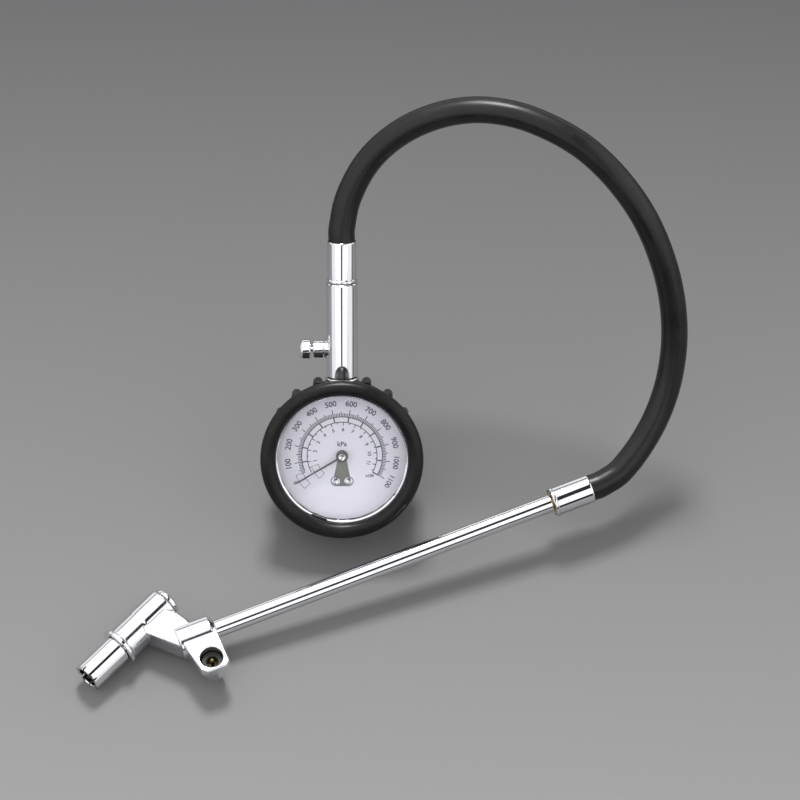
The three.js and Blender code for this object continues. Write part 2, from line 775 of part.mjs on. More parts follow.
// A slab with a sloping edge all round its top and bottom
function chamferedSlab(outline, low, high, edge) {
  const shape = new THREE.Shape(flat(outline));
  const bevel = { bevelThickness: edge, bevelSize: edge, bevelOffset: -edge, bevelSegments: 1 };
  const slab = new THREE.ExtrudeGeometry(shape, { depth: high - low - 2 * edge, bevelEnabled: true, ...bevel });
  return slab.translate(0, 0, low + edge);
}

function rodBetween(a, b, radius) {
  const across = new THREE.Vector3(b.x - a.x, b.y - a.y, b.z - a.z);
  const up = new THREE.Vector3(0, 1, 0);
  const turn = new THREE.Quaternion().setFromUnitVectors(up, across.clone().normalize());
  return rod(radius, 0, across.length(), 12).applyQuaternion(turn).translate(a.x, a.y, a.z);
}

const portShelf = lugTop - portDeep;
const bossInside = bossBottom + bossFloor;
function makeHead() {
  const barrelWell = barrelEnd - 8;
  const well = {
    x: nozzleMouth.x + barrelWell * Math.cos(nozzleTurn),
    y: nozzleMouth.y + barrelWell * Math.sin(nozzleTurn),
    z: 0,
  };
  const inlet = { x: socketBottom - 1, y: 0, z: 0 };
  const sideInlet = { ...inlet, y: 0.5 };
  const portFoot = { x: port.x, y: port.y, z: portShelf - 1.2 };
  const portHole = [[0, bossInside], [portSpringBore, bossInside], [portSpringBore, portShelf]];
  const portWall = [[portBore, portShelf], [portBore, lugTop - 0.5], [portBore + 1, lugTop + 0.5]];
  const body = join(
    atNozzle(turned(barrelOutline, 20)),
    alongX(turned(socketOutline, 20)),
    chamferedSlab(armOutline, -armHalf, armHalf, armEdge),
    chamferedSlab(lugOutline, lugTop - lugThick, lugTop, 0.5),
    moved(alongZ(rod(bossRadius, bossBottom, lugTop - lugThick + 1, 20)), port.x, port.y, 0),
    rodBetween(portFoot, sideInlet, portPassage + 1.4),
  );
  return cut(
    body,
    atNozzle(rod(spigotHole, neckFoot - 1, spigotEnd + gap, 16)),
    atNozzle(rod(passage, spigotEnd, barrelEnd - 4, 12)),
    atNozzle(rod(plugSpigot + gap, barrelEnd - 5.6, barrelEnd + 1, 16)),
    alongX(rod(lanceRadius + gap, socketBottom, 0, 16)),
    rodBetween(inlet, well, passage),
    rodBetween(portFoot, sideInlet, portPassage),
    moved(alongZ(turned([...portHole, ...portWall, [0, lugTop + 0.5]], 18)), port.x, port.y, 0),
  );
}
add(lance, "chuck_head", makeHead(), chrome);

// Nozzle with its ring, gasket, plunger and spring, in the axes of the barrel
nozzle.position.set(nozzleMouth.x, nozzleMouth.y, 0);
nozzle.rotation.z = nozzleTurn - 90 * degree;
const nozzleOutline = [
  [nozzleBore, 0.4],
  [nozzleBore + 0.4, 0],
  [nozzleRadius - 0.4, 0],
  [nozzleRadius, 0.4],
  [nozzleRadius, nozzleLong],
  [spigotRadius, nozzleLong],
  [spigotRadius, spigotEnd],
  [nozzleBore, spigotEnd],
];
function makeNozzle() {
  const slots = [0, 60, 120].map((turn) => {
    return new THREE.BoxGeometry(2 * nozzleRadius + 2, 3.6, 0.8).rotateY((turn + 20) * degree);
  });
  return cut(turned(nozzleOutline, 18), ...slots);
}
add(nozzle, "nozzle", makeNozzle(), chrome);
const ringLow = nozzleLong + gap;
const ringOutline = [
  [spigotHole, ringLow],
  [ringRadius - 0.3, ringLow],
  [ringRadius, ringLow + 0.3],
  [ringRadius, ringLow + ringThick - 0.3],
  [ringRadius - 0.3, ringLow + ringThick],
  [spigotHole, ringLow + ringThick],
];
add(nozzle, "nozzle_ring", turned(ringOutline, 20), chrome);

const gasketDepth = 7;
const gasketLong = 3;
const gasketHole = 2.2;
const gasketOutline = [
  [gasketHole, gasketDepth + 0.6],
  [gasketHole + 0.8, gasketDepth],
  [nozzleBore - gap, gasketDepth],
  [nozzleBore - gap, gasketDepth + gasketLong],
  [gasketHole, gasketDepth + gasketLong],
];
add(nozzle, "nozzle_gasket", turned(gasketOutline, 16), softRubber);

const pinRadius = 0.9;
const discLow = gasketDepth + gasketLong + gap;
const nozzlePlunger = [
  [0, gasketDepth - 1.4],
  [pinRadius, gasketDepth - 1.2],
  [pinRadius, discLow],
  [nozzleBore - slideGap, discLow],
  [nozzleBore - slideGap, discLow + 1.2],
  [1.6, discLow + 1.2],
  [1.6, discLow + 5],
  [0, discLow + 5],
];
add(nozzle, "nozzle_plunger", turned(nozzlePlunger, 16), brass);
const nozzleSpringLow = discLow + 1.2 + plungerTravel + gap;
add(nozzle, "nozzle_spring", spring(2.9, 0.35, nozzleSpringLow, spigotEnd, 6), steel);

const plugFoot = barrelEnd + gap;
const plugOutline = [
  [0, barrelEnd - 5],
  [plugSpigot, barrelEnd - 5],
  [plugSpigot, plugFoot],
  [plugRadius, plugFoot],
  ...arc(plugRadius - 1.3, plugFoot + plugThick - 1.3, 1.3, 0, 90 * degree, 2),
  [0, plugFoot + plugThick],
];
const plugSlot = new THREE.BoxGeometry(9, 1.6, 1.6).translate(0, plugFoot + plugThick, 0);
add(nozzle, "barrel_plug", cut(turned(plugOutline, 20), plugSlot), chrome);

// Reverse port: gasket, plunger and spring
const atPort = (geometry) => moved(alongZ(geometry), port.x, port.y, 0);
const portGasket = ring(gasketHole, portBore - gap, portShelf + gap, portShelf + 3, 20);
add(lance, "port_gasket", atPort(portGasket), softRubber);
const portDiscHigh = portShelf - 0.4;
const portDiscLow = portDiscHigh - 0.8;
const portPlunger = [
  [0, portDiscLow - 0.6],
  [1.4, portDiscLow - 0.6],
  [1.4, portDiscLow],
  [portSpringBore - slideGap, portDiscLow],
  [portSpringBore - slideGap, portDiscHigh],
  [pinRadius, portDiscHigh],
  [pinRadius, portShelf + 4],
  [0, portShelf + 4.2],
];
add(lance, "port_plunger", atPort(turned(portPlunger, 16)), brass);
const portSpring = spring(2.6, 0.2, bossInside + gap, portDiscLow - portTravel - 0.1, 1.25);
add(lance, "port_spring", atPort(portSpring), steel);

// Both halves stand on the bench: the boot on its lower back edge, the chuck on its nozzle ring
const standing = [...bootOutline, [ribTip, ribBack]];
const bootDrop = Math.min(...standing.map(([r, z]) => -r * Math.sin(leanBack) + z * Math.cos(leanBack)));
gauge.rotation.x = leanBack;
gauge.position.set(gaugeSpot.x, gaugeSpot.y, -bootDrop);
const ringAt = nozzleMouth.x + ringLow * Math.cos(nozzleTurn);
lance.rotation.set(0, -lanceRise, lanceYaw, "ZYX");
lance.position.set(lanceSpot.x, lanceSpot.y, ringRadius - ringAt * Math.sin(lanceRise) + 0.1);
part.updateMatrixWorld(true);

// Hose: straight in each ferrule, and laid by hand between them
const hoseLead = 5;
const hoseRoute = [
  [4.5, 93.2, 107.3],
  [12.7, 103.3, 118.9],
  [25.1, 110.5, 128.3],
  [40.7, 114.5, 135.3],
  [57, 115, 139.2],
  [73, 112.2, 140],
  [87.3, 107.3, 138],
  [100.5, 101.2, 133.8],
  [111.2, 94.4, 127.7],
  [120.5, 87.1, 119.7],
  [128, 79.9, 110.3],
  [133.9, 72.4, 99.2],
  [138.5, 64.4, 85.9],
  [141, 56.1, 71.7],
  [141, 46.9, 57.5],
  [137.7, 35.8, 43.7],
  [130.5, 23.4, 32.5],
  [119.4, 10.4, 24.7],
];
const inFerrule = [hoseStart, ferruleLong, ferruleLong + hoseLead];
const spot = (x, y, z) => new THREE.Vector3(x, y, z);
const gaugeEnd = inFerrule.map((h) => gauge.localToWorld(spot(0, stemTop + gap + h, -stemDepth)));
const lanceEnd = inFerrule.map((h) => lance.localToWorld(spot(lanceLong + gap + h, 0, 0))).reverse();
const hosePoints = [...gaugeEnd, ...hoseRoute.map((point) => spot(...point)), ...lanceEnd];
const hoseSection = new THREE.Shape(flat(circle(0, 0, hoseRadius, hoseSides)));
hoseSection.holes = [new THREE.Path(flat(circle(0, 0, hoseBore, hoseSides)))];
const hoseCurve = new THREE.CatmullRomCurve3(hosePoints, false, "centripetal");
const hose = new THREE.ExtrudeGeometry(hoseSection, {
  extrudePath: hoseCurve,
  steps: hoseSteps,
  bevelEnabled: false,
});
add(part, "hose", hose, rubber);

export default part;
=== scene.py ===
import json
import math

import bmesh
import bpy
from mathutils import Matrix, Vector


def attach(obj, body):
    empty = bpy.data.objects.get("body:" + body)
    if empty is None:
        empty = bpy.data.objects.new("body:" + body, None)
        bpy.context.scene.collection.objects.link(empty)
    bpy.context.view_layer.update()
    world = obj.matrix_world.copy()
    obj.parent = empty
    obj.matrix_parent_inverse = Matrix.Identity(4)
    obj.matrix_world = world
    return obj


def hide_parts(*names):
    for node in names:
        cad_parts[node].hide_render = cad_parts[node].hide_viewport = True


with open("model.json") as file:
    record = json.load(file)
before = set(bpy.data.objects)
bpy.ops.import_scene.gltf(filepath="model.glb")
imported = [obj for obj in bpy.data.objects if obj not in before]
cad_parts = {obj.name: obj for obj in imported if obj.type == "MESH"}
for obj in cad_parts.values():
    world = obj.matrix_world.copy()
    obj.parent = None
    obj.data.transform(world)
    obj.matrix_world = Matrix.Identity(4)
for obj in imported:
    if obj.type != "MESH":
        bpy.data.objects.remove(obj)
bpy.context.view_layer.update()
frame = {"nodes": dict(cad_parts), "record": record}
nodes = frame["nodes"]
record = frame["record"]
scene = bpy.context.scene
print("frame loaded:", len(nodes), "nodes")

# places, from the record's joints and mounts
millimetre = Matrix.Scale(0.001, 4)
fullTurn = 2 * math.pi
quarterTurn = math.radians(90)
yToZ = Matrix.Rotation(quarterTurn, 4, "X")  # a turned piece is spun around y
yToX = Matrix.Rotation(-quarterTurn, 4, "Z")
yToMinusX = Matrix.Rotation(quarterTurn, 4, "Z")


def axesAt(origin, xAxis, yAxis):  # a frame in millimetres at a point of the record
    turn = Matrix((xAxis, yAxis, xAxis.cross(yAxis))).transposed().to_4x4()
    return Matrix.Translation(origin) @ turn @ millimetre


joints = {joint["name"]: joint for joint in record["behaviour"]["joints"]}
mounts = {mount["name"]: mount for mount in record["mounts"]}

dialNormal = -Vector(joints["pointer_turn"]["axis"])
dialRight = Vector((1, 0, 0))
gaugeAxes = axesAt(Vector(joints["pointer_turn"]["pos_m"]), dialRight, dialNormal.cross(dialRight))

lugSpot = {"along": -12.0, "across": -6.9, "above": 6.0, "nozzleTurn": math.radians(25.5)}
lanceUp = Vector(mounts["lug_top"]["axis"])
nozzleWay = Vector(joints["nozzle_push"]["axis"])
lanceWay = Matrix.Rotation(-lugSpot["nozzleTurn"], 3, lanceUp) @ nozzleWay
lanceSide = lanceUp.cross(lanceWay)
lanceOrigin = Vector(mounts["lug_top"]["pos_m"]) - 0.001 * (
    lugSpot["along"] * lanceWay + lugSpot["across"] * lanceSide + lugSpot["above"] * lanceUp
)
lanceAxes = axesAt(lanceOrigin, lanceWay, lanceSide)
nozzleMouth = Vector((-58.9, -0.1, 0))
nozzleAxes = axesAt(lanceAxes @ nozzleMouth, nozzleWay.cross(lanceUp), nozzleWay)

stemDepth = 12.5
aboutDial = gaugeAxes @ yToZ
aboutStem = gaugeAxes @ Matrix.Translation((0, 0, -stemDepth))
aboutLance = lanceAxes @ yToX
portSpot = Vector((-8.3, -14.8, 0))
toPort = Matrix.Translation(portSpot) @ yToZ
aboutPort = lanceAxes @ toPort
bleederHeight = 43.25
toBleeder = Matrix.Translation((0, bleederHeight, 0)) @ yToMinusX
aboutBleeder = aboutStem @ toBleeder

# camera
view = {
    "elevation": math.radians(57),
    "lens": 220,
    "sensor": 36,
    "across": 24.4,  # the target from the bezel's centre
    "up": 24.8,
    "frameWide": 336,
    "bezelHeight": 4.9,
    "clipNear": 0.05,
    "clipFar": 30,
}
bezelCentre = gaugeAxes @ Vector((0, 0, view["bezelHeight"]))
lookBack = Vector((0, -math.cos(view["elevation"]), math.sin(view["elevation"])))
lookUp = Vector((0, math.sin(view["elevation"]), math.cos(view["elevation"])))
target = bezelCentre + 0.001 * (view["across"] * Vector((1, 0, 0)) + view["up"] * lookUp)
cameraData = bpy.data.cameras.new("camera")
cameraData.lens = view["lens"]
cameraData.sensor_width = view["sensor"]
camera = bpy.data.objects.new("camera", cameraData)
camera.location = target + lookBack * (0.001 * view["frameWide"] * view["lens"] / view["sensor"])
camera.rotation_mode = "QUATERNION"
camera.rotation_quaternion = (-lookBack).to_track_quat("-Z", "Y")
cameraData.clip_start = view["clipNear"]
cameraData.clip_end = view["clipFar"]
scene.collection.objects.link(camera)
scene.camera = camera


# materials
def newSocket(group, name, kind, inOut, value=None):
    socket = group.interface.new_socket(name=name, in_out=inOut, socket_type=kind)
    if value is not None:
        socket.default_value = value


def connect(tree, fromNode, fromName, toNode, toName):
    tree.links.new(fromNode.outputs[fromName], toNode.inputs[toName])


def addNoise(tree, vector, scale, detail=3.0, roughness=0.55):
    noise = tree.nodes.new("ShaderNodeTexNoise")
    noise.inputs["Scale"].default_value = scale
    noise.inputs["Detail"].default_value = detail
    noise.inputs["Roughness"].default_value = roughness
    tree.links.new(vector, noise.inputs["Vector"])
    return noise.outputs["Fac"]


def addMath(tree, operation, first, second):
    step = tree.nodes.new("ShaderNodeMath")
    step.operation = operation
    for value, socket in zip((first, second), step.inputs):
        if isinstance(value, (int, float)):
            socket.default_value = value
        else:
            tree.links.new(value, socket)
    return step.outputs[0]


def addRange(tree, value, fromLow, fromHigh, toLow, toHigh):
    step = tree.nodes.new("ShaderNodeMapRange")
    tree.links.new(value, step.inputs["Value"])
    limits = {"From Min": fromLow, "From Max": fromHigh, "To Min": toLow, "To Max": toHigh}
    for name, number in limits.items():
        step.inputs[name].default_value = number
    return step.outputs["Result"]


marksLook = {
    "cloudScale": 90,
    "hairScale": 260,
    "hairTurn": (0.4, 0.9, 0.3),
    "hairStretch": (1, 14, 3),
    "hairThin": 0.012,
    "hairWhere": (0.5, 0.7),  # only where the cloud is this strong
    "speckScale": 2600,
    "speckFrom": (0.66, 0.74),
    "cloudRange": (0.3, 0.7),
    "dustColour": (0.32, 0.31, 0.3, 1),
}


def makeHandlingMarks():  # clouds, hair scratches and dust that every handled surface shares
    group = bpy.data.node_groups.new("handlingMarks", "ShaderNodeTree")
    newSocket(group, "Vector", "NodeSocketVector", "INPUT")
    newSocket(group, "Size", "NodeSocketFloat", "INPUT", 1.0)
    for name in ("Cloud", "Scratch", "Dust"):
        newSocket(group, name, "NodeSocketFloat", "OUTPUT")
    inside = group.nodes.new("NodeGroupInput")
    outside = group.nodes.new("NodeGroupOutput")
    scaled = group.nodes.new("ShaderNodeVectorMath")
    scaled.operation = "SCALE"
    connect(group, inside, "Vector", scaled, "Vector")
    connect(group, inside, "Size", scaled, "Scale")
    spread = scaled.outputs["Vector"]
    cloud = addNoise(group, spread, marksLook["cloudScale"], 4)
    stretched = group.nodes.new("ShaderNodeMapping")
    stretched.inputs["Rotation"].default_value = marksLook["hairTurn"]
    stretched.inputs["Scale"].default_value = marksLook["hairStretch"]
    group.links.new(spread, stretched.inputs["Vector"])
    hair = addNoise(group, stretched.outputs["Vector"], marksLook["hairScale"], 2, 0.4)
    fromMiddle = addMath(group, "ABSOLUTE", addMath(group, "SUBTRACT", hair, 0.5), 0)
    thin = addRange(group, fromMiddle, 0.0, marksLook["hairThin"], 1, 0)
    scratch = addMath(group, "MULTIPLY", thin, addRange(group, cloud, *marksLook["hairWhere"], 0, 1))
    grains = addNoise(group, spread, marksLook["speckScale"], 1, 0.3)
    speck = addRange(group, grains, *marksLook["speckFrom"], 0, 1)
    group.links.new(cloud, outside.inputs["Cloud"])
    group.links.new(scratch, outside.inputs["Scratch"])
    group.links.new(speck, outside.inputs["Dust"])
    return group


handlingMarks = makeHandlingMarks()


def surface(name, darker, lighter, roughLow, roughHigh, grain, grainHeight, size=1.0, dust=0.0,
            scratchRough=0.0, bumpStrength=0.2, **sockets):
    made = bpy.data.materials.new(name)
    made.use_nodes = True
    tree = made.node_tree
    shader = tree.nodes["Principled BSDF"]
    where = tree.nodes.new("ShaderNodeTexCoord").outputs["Object"]
    marks = tree.nodes.new("ShaderNodeGroup")
    marks.node_tree = handlingMarks
    tree.links.new(where, marks.inputs["Vector"])
    marks.inputs["Size"].default_value = size
    tone = tree.nodes.new("ShaderNodeMix")
    tone.data_type = "RGBA"
    tone.inputs["A"].default_value = (*darker, 1)
    tone.inputs["B"].default_value = (*lighter, 1)
    cloud = marks.outputs["Cloud"]
    tree.links.new(addRange(tree, cloud, *marksLook["cloudRange"], 0, 1), tone.inputs["Factor"])
    colour = tone.outputs["Result"]
    if dust:
        dusted = tree.nodes.new("ShaderNodeMix")
        dusted.data_type = "RGBA"
        dusted.inputs["B"].default_value = marksLook["dustColour"]
        tree.links.new(colour, dusted.inputs["A"])
        tree.links.new(addMath(tree, "MULTIPLY", marks.outputs["Dust"], dust), dusted.inputs["Factor"])
        colour = dusted.outputs["Result"]
    tree.links.new(colour, shader.inputs["Base Color"])
    rough = addRange(tree, cloud, *marksLook["cloudRange"], roughLow, roughHigh)
    if scratchRough:
        rough = addMath(tree, "ADD", rough, addMath(tree, "MULTIPLY", marks.outputs["Scratch"], scratchRough))
    tree.links.new(rough, shader.inputs["Roughness"])
    bump = tree.nodes.new("ShaderNodeBump")
    bump.inputs["Strength"].default_value = bumpStrength
    bump.inputs["Distance"].default_value = grainHeight
    tree.links.new(addNoise(tree, where, grain, 3), bump.inputs["Height"])
    connect(tree, bump, "Normal", shader, "Normal")
    for socket, value in sockets.items():
        shader.inputs[socket.replace("_", " ")].default_value = value
    return made


finishes = {
    "chrome": surface("chromePlate", (0.80, 0.81, 0.84), (0.87, 0.87, 0.90), 0.03, 0.07, 120, 0.00003,
                      size=0.8, scratchRough=0.08, bumpStrength=0.12, Metallic=1.0),
    "castChrome": surface("castChrome", (0.78, 0.79, 0.82), (0.86, 0.87, 0.90), 0.07, 0.15, 260, 0.00005,
                          size=1.2, scratchRough=0.10, bumpStrength=0.22, Metallic=1.0),
    "boot_rubber": surface("mouldedRubber", (0.005, 0.005, 0.006), (0.010, 0.010, 0.010), 0.26, 0.38, 5200,
                           0.00005, dust=0.12, bumpStrength=0.2, Specular_IOR_Level=0.22),
    "hose_rubber": surface("hoseRubber", (0.005, 0.005, 0.006), (0.010, 0.010, 0.011), 0.28, 0.38, 3600,
                           0.00004, dust=0.10, bumpStrength=0.16, Specular_IOR_Level=0.34),
    "gasket_rubber": surface("sealRubber", (0.010, 0.011, 0.006), (0.022, 0.022, 0.012), 0.55, 0.75, 4200,
                             0.00005, dust=0.2),
    "brass": surface("machinedBrass", (0.55, 0.38, 0.16), (0.74, 0.54, 0.26), 0.20, 0.38, 1500, 0.00003,
                     scratchRough=0.2, Metallic=1.0),
    "agedBrass": surface("agedBrass", (0.10, 0.075, 0.035), (0.20, 0.15, 0.07), 0.40, 0.60, 1500, 0.00003,
                         scratchRough=0.1, Metallic=0.9),
    "steel": surface("plainSteel", (0.42, 0.43, 0.42), (0.56, 0.57, 0.56), 0.24, 0.42, 1800, 0.00003,
                     scratchRough=0.2, Metallic=1.0),
    "oliveSteel": surface("oliveSteel", (0.16, 0.17, 0.13), (0.27, 0.28, 0.23), 0.40, 0.58, 1800, 0.00003,
                          scratchRough=0.15, Metallic=0.8),
    "dial_white": surface("printedDial", (0.87, 0.855, 0.98), (0.90, 0.885, 0.99), 0.45, 0.55, 3800, 0.00002,
                          dust=0.05, bumpStrength=0.1),
    "scaleInk": surface("scaleInk", (0.012, 0.012, 0.03), (0.03, 0.03, 0.06), 0.5, 0.6, 3000, 0.00002),
    "numberInk": surface("numberInk", (0.03, 0.03, 0.09), (0.06, 0.055, 0.14), 0.5, 0.6, 3000, 0.00002),
    "smallInk": surface("smallInk", (0.05, 0.05, 0.08), (0.09, 0.085, 0.12), 0.5, 0.6, 3000, 0.00002),
    "pointer_black": surface("pointerPaint", (0.008, 0.008, 0.012), (0.02, 0.02, 0.026), 0.35, 0.5, 3000,
                             0.00002),
    "lens_clear": surface("clearLens", (0.93, 0.95, 1.0), (1.0, 1.0, 1.0), 0.02, 0.06, 60, 0.00001,
                          bumpStrength=0.05, Alpha=0.06, IOR=1.49),
}
print("materials ready:", len(finishes))


# making pieces
weldWithin = 0.0005


def turnedShape(outline, steps=72):  # an outline of [radius, height] points spun around y
    shape = bmesh.new()
    points = [shape.verts.new((radius, height, 0)) for radius, height in outline]
    lines = [shape.edges.new(pair) for pair in zip(points, points[1:])]
    if outline[0][0] > 0:
        lines.append(shape.edges.new((points[-1], points[0])))
    bmesh.ops.spin(shape, geom=points + lines, cent=(0, 0, 0), axis=(0, 1, 0), dvec=(0, 0, 0), angle=fullTurn,
                   steps=steps, use_merge=True, use_duplicate=False)
    bmesh.ops.remove_doubles(shape, verts=shape.verts, dist=weldWithin)
    bmesh.ops.recalc_face_normals(shape, faces=shape.faces)
    return shape


def rodShape(radius, low, high, steps=48):
    return turnedShape([(0, low), (radius, low), (radius, high), (0, high)], steps)


def slabShape(outline, low, high):  # a flat outline raised between two heights
    shape = bmesh.new()
    base = shape.faces.new([shape.verts.new((x, y, low)) for x, y in outline])
    raised = bmesh.ops.extrude_face_region(shape, geom=[base], use_keep_orig=True)
    tops = [item for item in raised["geom"] if isinstance(item, bmesh.types.BMVert)]
    bmesh.ops.translate(shape, vec=(0, 0, high - low), verts=tops)
    bmesh.ops.recalc_face_normals(shape, faces=shape.faces)
    return shape


def boxShape(sizeX, sizeY, sizeZ, centre=(0, 0, 0)):
    shape = bmesh.new()
    bmesh.ops.create_cube(shape, size=1)
    bmesh.ops.scale(shape, vec=(sizeX, sizeY, sizeZ), verts=shape.verts)
    bmesh.ops.translate(shape, vec=centre, verts=shape.verts)
    return shape


def softenEdges(shape, size, segments=2, over=28):  # rounds every edge sharper than an angle
    limit = math.radians(over)
    sharp = [edge for edge in shape.edges if edge.is_manifold and edge.calc_face_angle(0) > limit]
    bmesh.ops.bevel(shape, geom=sharp, offset=size, offset_type="OFFSET", segments=segments, profile=0.5,
                    affect="EDGES", clamp_overlap=True, material=-1)
    return shape


def moveShape(shape, matrix):
    bmesh.ops.transform(shape, matrix=matrix, verts=shape.verts)
    return shape


def mergeShapes(first, *others):  # separate closed forms kept in one mesh
    for other in others:
        carrier = bpy.data.meshes.new("carrier")
        other.to_mesh(carrier)
        first.from_mesh(carrier)
        bpy.data.meshes.remove(carrier)
        other.free()
    return first


def toObject(shape, name):
    mesh = bpy.data.meshes.new(name)
    shape.to_mesh(mesh)
    shape.free()
    made = bpy.data.objects.new(name, mesh)
    scene.collection.objects.link(made)
    return made


def applyModifiers(piece):
    graph = bpy.context.evaluated_depsgraph_get()
    graph.update()
    result = bpy.data.meshes.new_from_object(piece.evaluated_get(graph))
    piece.modifiers.clear()
    piece.data = result


def withTools(shape, operation, *tools):  # joins or cuts closed forms exactly
    body = toObject(shape, "body")
    helpers = []
    for tool in tools:
        helper = toObject(tool, "tool")
        step = body.modifiers.new("step", "BOOLEAN")
        step.operation = operation
        step.solver = "EXACT"
        step.object = helper
        helpers.append(helper)
    applyModifiers(body)
    result = bmesh.new()
    result.from_mesh(body.data)
    for spare in [body, *helpers]:
        bpy.data.objects.remove(spare)
    bmesh.ops.remove_doubles(result, verts=result.verts, dist=weldWithin)
    return result


def finishPiece(shape, name, axes, body, finish, replaced=(), smoothUnder=35):
    moveShape(shape, axes)
    for face in shape.faces:
        face.smooth = True
    for edge in shape.edges:
        edge.smooth = edge.is_manifold and edge.calc_face_angle(0) < math.radians(smoothUnder)
    piece = toObject(shape, name)
    shading = piece.modifiers.new("shading", "WEIGHTED_NORMAL")
    shading.keep_sharp = True
    applyModifiers(piece)
    piece.data.materials.append(finishes[finish])
    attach(piece, body)
    if replaced:
        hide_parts(*replaced)
    return piece


def arcPoints(cx, cy, radius, fromDegrees, toDegrees, steps):
    spots = []
    for i in range(steps + 1):
        a = math.radians(fromDegrees + (toDegrees - fromDegrees) * i / steps)
        spots.append((cx + radius * math.cos(a), cy + radius * math.sin(a)))
    return spots


# hose
hose = {
    "radius": 5.6,
    "stemMouth": 72.6,
    "lanceMouth": 150.6,
    "inFerrule": (3.3, 17.5, 22.5),
    "weldWithin": 1e-6,
    "route": [  # in metres, from the stem to the lance
        (0.0045, 0.0932, 0.1073), (0.0127, 0.1033, 0.1189), (0.0251, 0.1105, 0.1283),
        (0.0407, 0.1145, 0.1353), (0.0570, 0.1150, 0.1392), (0.0730, 0.1122, 0.1400),
        (0.0873, 0.1073, 0.1380), (0.1005, 0.1012, 0.1338), (0.1112, 0.0944, 0.1277),
        (0.1205, 0.0871, 0.1197), (0.1280, 0.0799, 0.1103), (0.1339, 0.0724, 0.0992),
        (0.1385, 0.0644, 0.0859), (0.1410, 0.0561, 0.0717), (0.1410, 0.0469, 0.0575),
        (0.1377, 0.0358, 0.0437), (0.1305, 0.0234, 0.0325), (0.1194, 0.0104, 0.0247),
    ],
}


def makeHose():
    stemEnd = [aboutStem @ Vector((0, hose["stemMouth"] + h, 0)) for h in hose["inFerrule"]]
    lanceEnd = [lanceAxes @ Vector((hose["lanceMouth"] + h, 0, 0)) for h in reversed(hose["inFerrule"])]
    route = [*stemEnd, *[Vector(point) for point in hose["route"]], *lanceEnd]
    curve = bpy.data.curves.new("hoseLine", "CURVE")
    curve.dimensions = "3D"
    curve.bevel_depth = 0.001 * hose["radius"]
    curve.bevel_resolution = 10
    curve.use_fill_caps = True
    curve.resolution_u = 6
    spline = curve.splines.new("BEZIER")
    spline.bezier_points.add(len(route) - 1)
    for i, point in enumerate(spline.bezier_points):
        before, here, after = route[max(i - 1, 0)], route[i], route[min(i + 1, len(route) - 1)]
        heading = (after - before).normalized()
        point.co = here
        point.handle_left_type = point.handle_right_type = "FREE"
        point.handle_left = here - heading * ((here - before).length / 3)
        point.handle_right = here + heading * ((after - here).length / 3)
    holder = bpy.data.objects.new("holder", curve)
    scene.collection.objects.link(holder)
    graph = bpy.context.evaluated_depsgraph_get()
    tube = bpy.data.meshes.new_from_object(holder.evaluated_get(graph))
    curve.bevel_depth = 0
    graph.update()
    wire = bpy.data.meshes.new_from_object(holder.evaluated_get(graph))
    bpy.data.objects.remove(holder)
    shape = bmesh.new()
    shape.from_mesh(tube)
    bmesh.ops.remove_doubles(shape, verts=shape.verts, dist=hose["weldWithin"])
    bmesh.ops.recalc_face_normals(shape, faces=shape.faces)
    piece = finishPiece(shape, "rubber_hose", Matrix.Identity(4), "root", "hose_rubber", replaced=["hose"])


makeHose()

# rubber boot
boot = {
    "outline": [
        (0, -22), (25.6, -22), *arcPoints(25.6, -19, 3, -60, 0, 3), (29.6, -6.2), (31.6, -2.6), (32, 0),
        *arcPoints(31, 6, 3.3, -50, 180, 22), (27.7, 5.7), (30.4, 5.7), (30.4, -1.3), (29.3, -1.3),
        (29.3, -4.3), (27.3, -4.3), (27.3, -19.3), (0, -19.3),
    ],
    "ribs": 18,
    "ribRadius": 2.1,
    "ribTip": 32.0,
    "ribFrom": -16.6,
    "ribTo": -8.5,
    "ribEdge": 0.7,
    "hole": (5.0, 5, 36),
}


def makeBoot():
    shell = moveShape(turnedShape(boot["outline"], 120), yToZ)
    ribs = bmesh.new()
    for i in range(1, boot["ribs"]):
        a = quarterTurn + fullTurn * i / boot["ribs"]
        rib = rodShape(boot["ribRadius"], boot["ribFrom"], boot["ribTo"], 18)
        moveShape(softenEdges(rib, boot["ribEdge"], 3), yToZ)
        r = boot["ribTip"] - boot["ribRadius"]
        mergeShapes(ribs, moveShape(rib, Matrix.Translation((r * math.cos(a), r * math.sin(a), 0))))
    whole = withTools(shell, "UNION", ribs)
    hole = moveShape(rodShape(*boot["hole"]), Matrix.Translation((0, 0, -stemDepth)))
    whole = withTools(whole, "DIFFERENCE", hole)
    finishPiece(whole, "rubber_boot", gaugeAxes, "root", "boot_rubber", replaced=["boot"], smoothUnder=42)


makeBoot()
print("boot made")

# bezel, lens and dial
bezel = {
    "outline": [(29.3, -1), (30.1, -1), (30.1, 5.4), (27.5, 5.4), (26.9, 4.9), (26.9, 4.6), (29.3, 4.6)],
    "edge": 0.12,
    "lensRadius": 29.0,
    "lensLow": 2.9,
    "lensHigh": 4.3,
    "lensEdge": 0.2,
}
bezelShape = softenEdges(turnedShape(bezel["outline"], 128), bezel["edge"], 3)
finishPiece(bezelShape, "bezel", aboutDial, "root", "chrome", replaced=["bezel_ring"])
lensShape = rodShape(bezel["lensRadius"], bezel["lensLow"], bezel["lensHigh"], 128)
softenEdges(lensShape, bezel["lensEdge"], 2)
finishPiece(lensShape, "clear_lens", aboutDial, "root", "lens_clear", replaced=["lens"])

